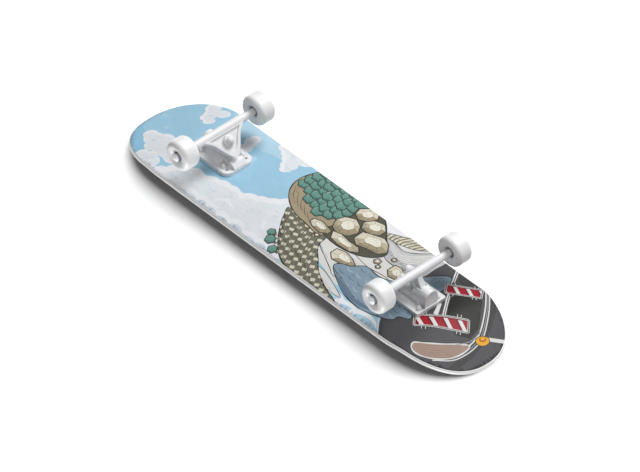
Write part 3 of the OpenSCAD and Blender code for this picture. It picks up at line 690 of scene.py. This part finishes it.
def paint_pond(pic):
    pond = pic.blob([(-96, -34), (-112, -26), (-130, -8), (-160, -10), (-190, 4), (-208, 40), (-226, 70),
                     (-240, 74), (-252, 50), (-250, 10), (-262, -30), (-266, -42), (-250, -50), (-246, -62),
                     (-226, -72), (-190, -80), (-150, -76), (-118, -62), (-92, -46)], "pond", edge="ink",
                    width=1.8)
    waves = ((-70, "pond_dark"), (-58, "pond_light"), (-46, "pond_dark"), (-34, "pond_light"),
             (-20, "pond_dark"))
    for y, ink in waves:
        for k in range(7):
            x = -110 - 21 * k + (y % 9)
            pic.stroke([(x, y + 4), (x - 9, y - 1), (x - 18, y + 1)], 2.2, ink, clip=pond, taper=1.0)
    pic.hatch((-100, -50), (-180, -76), 20, 10, 30, 0.8, "ink", pond)
    pic.hatch((-212, 44), (-236, 68), 10, 12, 250, 0.9, "pond_light", pond)
    pic.hatch((-244, -20), (-258, -46), 10, 10, 200, 0.8, "pond_dark", pond)
    pic.blob([(-100, -54), (-130, -60), (-160, -70), (-200, -70), (-190, -76), (-150, -76), (-118, -66)],
             "pond_dark", pond)


def barrier(pic, x, y, length, width, turn):
    """A road barrier board with red and white slanted stripes on two short posts."""
    c, s = math.cos(math.radians(turn)), math.sin(math.radians(turn))

    def at(u, v):
        return (x + u * c - v * s, y + u * s + v * c)

    for u in (-0.32 * length, 0.32 * length):
        pic.area([at(u - 3, -width * 0.8), at(u + 3, -width * 0.8), at(u + 3, width * 0.8),
                  at(u - 3, width * 0.8)], "road_dark")
        pic.stroke([at(u - 3, -width * 0.8), at(u - 3, width * 0.8)], 0.9, "line")
        pic.stroke([at(u + 3, -width * 0.8), at(u + 3, width * 0.8)], 0.9, "line")
    corners = [(-length / 2, -width / 2), (length / 2, -width / 2), (length / 2, width / 2),
               (-length / 2, width / 2)]
    face = pic.area([at(u, v) for u, v in corners], "red")
    pitch = width * 0.95
    for k in range(int(-length / pitch) - 1, int(length / pitch) + 2):
        u, h = k * pitch, width / 2 + 1
        pic.area([at(u, -h), at(u + 0.3 * pitch, -h), at(u + 0.3 * pitch + h, h), at(u + h, h)], "line", face)
        pic.area([at(u - 0.16 * pitch, -h), at(u, -h), at(u + h, h), at(u + h - 0.16 * pitch, h)],
                 "red_dark", face)
    low, high = -width / 2, -width * 0.34
    foot = [(-length / 2, low), (length / 2, low), (length / 2, high), (-length / 2, high)]
    pic.area([at(u, v) for u, v in foot], "red_dark", face)
    ring = [at(u, v) for u, v in corners]
    for a, b in zip(ring, ring[1:] + ring[:1]):
        pic.stroke([a, b], 3.4, "line")
        pic.stroke([a, b], 1.3, "ink")


def paint_road(pic):
    pic.area([(-190, 110), (-208, 40), (-214, -40), (-232, -74), (-256, -112), (-420, -112), (-420, 110)],
             "road")
    pic.stroke([(-222, -66), (-238, -84), (-258, -106)], 2.4, "line")
    pic.stroke([(-227, -64), (-243, -82), (-263, -104)], 0.9, "ink")
    pic.blob([(-316, 96), (-336, 80), (-366, 30), (-380, -12), (-382, -50), (-374, -58), (-368, -20),
              (-352, 26), (-324, 76), (-306, 98)], "road_dark")
    pic.area([(-266, 58), (-292, 84), (-312, 72), (-346, 32), (-352, 8), (-334, -8), (-302, 6), (-284, 22)],
             "panel")
    pic.blob([(-236, 108), (-244, 84), (-262, 78), (-272, 96), (-270, 110)], "road_dark")


def paint_tail(pic):
    for shift, width, ink in ((0, 2.2, "line"), (4.6, 1.2, "stone_dark"), (8.4, 1.8, "line")):
        pic.stroke([(-286 - shift, 104), (-318 - shift, 74), (-348 - shift, 36), (-358 - shift, 14),
                    (-362 - shift, -16),
                    (-358 - shift, -44), (-340 - shift, -70)], width, ink)
    for shift in (0, 4.2):
        pic.stroke([(-222 - shift, 104), (-262 - shift, 46), (-300 - shift, -4)], 1.6 if shift else 2.2,
                   "line")
    pic.area([(-366, 34), (-370, 28), (-388, 48), (-384, 54)], "line")
    pic.area([(-270, 16), (-274, 20), (-290, -4), (-282, -6)], "line")
    plank = pic.blob([(-362, -2), (-366, -20), (-362, -44), (-348, -66), (-330, -80), (-314, -82),
                      (-306, -72), (-318, -58), (-334, -38), (-350, -14)], "timber", edge="line", width=2.2)
    inner = ((-352, -12), (-334, -38), (-318, -58), (-308, -72))
    outer = ((-366, -18), (-362, -44), (-348, -66), (-328, -81))
    for t in (0.14, 0.3, 0.44, 0.6, 0.74, 0.88):
        grain = [(a[0] + (b[0] - a[0]) * t, a[1] + (b[1] - a[1]) * t) for a, b in zip(inner, outer)]
        pic.stroke(grain, 0.8, "timber_dark", clip=plank, taper=0.7)
    pic.oval(-366, 22, 9.5, 12.5, "ink", 15)
    disc = pic.oval(-366, 22, 8.2, 11.2, "amber", 15)
    pic.oval(-364, 24, 4.6, 6.4, "amber_dark", 15, disc)
    pic.oval(-363, 25, 2.6, 3.8, "amber", 15, disc)
    barrier(pic, -274, 68, 58, 22, 141)
    barrier(pic, -303, -8, 86, 24, 136)
    pic.stroke([(-352, 30), (-356, 4), (-346, -24)], 1.4, "stone_dark")


def make_picture():
    pic = Picture()
    for paint in (paint_sky, paint_cloud_bank, paint_road, paint_sand, paint_ramp, paint_terrace, paint_grove,
                  paint_rocks, paint_pond, paint_tail):
        paint(pic)
    return pic.areas


def bolt_holes():
    """The eight deck-bolt places, in metres."""
    spots = []
    for end in ENDS:
        lo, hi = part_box(f"deck_bolts_{end}")
        head = 4.75 * MM
        spots += [(x, y) for x in (lo.x + head, hi.x - head) for y in (lo.y + head, hi.y - head)]
    return spots


def film_outline(film):
    """The film's edge seen from below, drawn in by a hair."""
    flat = [(v.co.x, v.co.y) for v in film.data.vertices]
    hull = [Vector(flat[i]) for i in convex_hull_2d(flat)]
    longest = max(p.length for p in hull)
    return [p * (1 - FILM_INSET / longest) for p in hull]


def divided(outline, step=7.0):
    """The outline with its long edges cut short, so that it follows the curved board."""
    line = []
    for a, b in zip(outline, outline[1:] + outline[:1]):
        n = int(math.hypot(b[0] - a[0], b[1] - a[1]) / step) + 1
        line += [(a[0] + (b[0] - a[0]) * k / n, a[1] + (b[1] - a[1]) * k / n) for k in range(n)]
    return line


def picture_layers(film, areas):
    """From the bottom up: the whole film in plain sky, the picture's areas, and bare bolt holes."""
    outline = [(p.x / MM, p.y / MM) for p in film_outline(film)]
    layers = [[anticlockwise(outline), "sky", None]]
    layers += [[pts, ink, None if clip is None else clip + 1] for pts, ink, clip in areas]
    turns = [math.pi * k / 8 for k in range(16)]
    for x, y in bolt_holes():
        hole = [(x / MM + HOLE_RADIUS * math.cos(a), y / MM + HOLE_RADIUS * math.sin(a)) for a in turns]
        layers.append([hole, None, None])
    return layers


def guide_points():
    """A grid that lets the print bend with the board, with a second one where the kicks curve."""
    grid = [Vector((x, y)) for x in range(-400, 401, 8) for y in range(-96, 97, 8)]
    kicks = [Vector((x * end, y)) for end in (-1, 1) for x in range(250, 350, 5) for y in range(-95, 96, 5)]
    return grid + kicks


def flat_triangles(layers):
    """The flat picture's points, its triangles, and for each triangle the layers that it lies in."""
    points = guide_points()
    faces = []
    for shape, _, _ in layers:
        pts = divided(shape)
        faces.append(list(range(len(points), len(points) + len(pts))))
        points += [Vector(p) for p in pts]
    made = delaunay_2d_cdt(points, [], faces, 1, 1e-4)
    return made[0], made[2], made[5]


def inked_mesh(verts, tris, inks):
    """A smooth mesh with one ink to a triangle, kept as a colour attribute."""
    mesh = bpy.data.meshes.new("printed_underside")
    mesh.from_pydata(verts, [], tris)
    colours = {ink: linear(*rgb) for ink, rgb in INKS.items()}
    layer = mesh.color_attributes.new("ink", "FLOAT_COLOR", "CORNER")
    layer.data.foreach_set("color", [c for ink in inks for _ in range(3) for c in colours[ink]])
    mesh.shade_smooth()
    return mesh


def print_mesh(film, areas):
    """The picture laid on the film's lower face. Each triangle takes the ink of its topmost layer."""
    layers = picture_layers(film, areas)
    places, triangles, owners = flat_triangles(layers)
    surface = tree_of(film)
    below = cad_box[0].z - 1
    heights = {}

    def lifted(i):
        if i not in heights:
            start = Vector((places[i].x * MM, places[i].y * MM, below))
            heights[i] = surface.ray_cast(start, Vector((0, 0, 1)))[0]
        return heights[i]

    verts, index, tris, inks = [], {}, [], []
    for tri, owner in zip(triangles, owners):
        ids = set(owner)
        if 0 not in ids:
            continue
        top = max(k for k in ids if layers[k][2] is None or layers[k][2] in ids)
        if layers[top][1] is None or any(lifted(i) is None for i in tri):
            continue
        for i in tri:
            if i not in index:
                index[i] = len(verts)
                verts.append(heights[i])
        tris.append([index[i] for i in reversed(tri)])
        inks.append(layers[top][1])
    return inked_mesh(verts, tris, inks)


def make_print(materials):
    film = frame["nodes"]["graphic_film"]
    piece = new_object("printed_underside", print_mesh(film, make_picture()))
    piece.data.materials.append(materials["print"])
    thick = piece.modifiers.new("film", "SOLIDIFY")
    thick.thickness = 0.15 * MM
    thick.offset = -1
    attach(piece, "board")
    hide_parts("graphic_film")


# ---------- deck, bushings and carried-over parts ----------
def make_deck(materials):
    """The deck's own shape, with each point's depth in the plies as an attribute."""
    piece = copy_of("deck", "lacquered_deck")
    film = tree_of(frame["nodes"]["graphic_film"])
    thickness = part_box("grip_tape")[0].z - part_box("graphic_film")[0].z
    depth = piece.data.attributes.new("ply", "FLOAT", "POINT")
    for i, v in enumerate(piece.data.vertices):
        near = film.find_nearest(v.co)[0]
        depth.data[i].value = max(0.0, (v.co - near).z / thickness)
    dress(piece, materials["deck_wood"], 0.0)
    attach(piece, "board")
    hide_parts("deck")


def make_bushings(materials):
    """A copy of each soft bushing in the bushing material, baked in place of its CAD node."""
    for end in ENDS:
        for which, fixed, carried in (("lower", -11 * MM, -3 * MM), ("upper", 10 * MM, 5 * MM)):
            node = f"{which}_bushing_{end}"
            piece = copy_of(node, f"soft_{node}")
            dress(piece, materials["bushing"], 0.0)
            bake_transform(piece)
            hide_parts(node)


def dress(obj, material, bevel):
    """The node material, smooth faces between sharp edges, and a small bevel where one is asked for."""
    obj.data.materials.clear()
    obj.data.materials.append(material)
    weld = obj.modifiers.new("weld", "WELD")
    weld.merge_threshold = 0.002 * MM
    if bevel:
        soft = obj.modifiers.new("bevel", "BEVEL")
        soft.width = bevel
        soft.segments = 2
        soft.limit_method = "ANGLE"
        soft.angle_limit = math.radians(38)
        even = obj.modifiers.new("even_shading", "WEIGHTED_NORMAL")
        even.keep_sharp = True
    with bpy.context.temp_override(active_object=obj, object=obj, selected_objects=[obj],
                                   selected_editable_objects=[obj]):
        bpy.ops.object.shade_smooth_by_angle(angle=math.radians(32))


def slot_of():
    """The record's material slot for each node."""
    return {part["node"]: part["material_slot"] for part in frame["record"]["subparts"]}


def dress_nodes(materials):
    slots = slot_of()
    bevels = {"baseplate": 0.6 * MM, "hanger": 0.6 * MM}
    for name, obj in frame["nodes"].items():
        if obj.hide_render:
            continue
        kind = name.rsplit("_", 1)[0]
        dress(obj, materials[slots[name]], bevels.get(kind, 0.0))


make_camera()
make_studio()
looks = slot_materials()
make_print(looks)
make_deck(looks)
make_bushings(looks)
dress_nodes(looks)
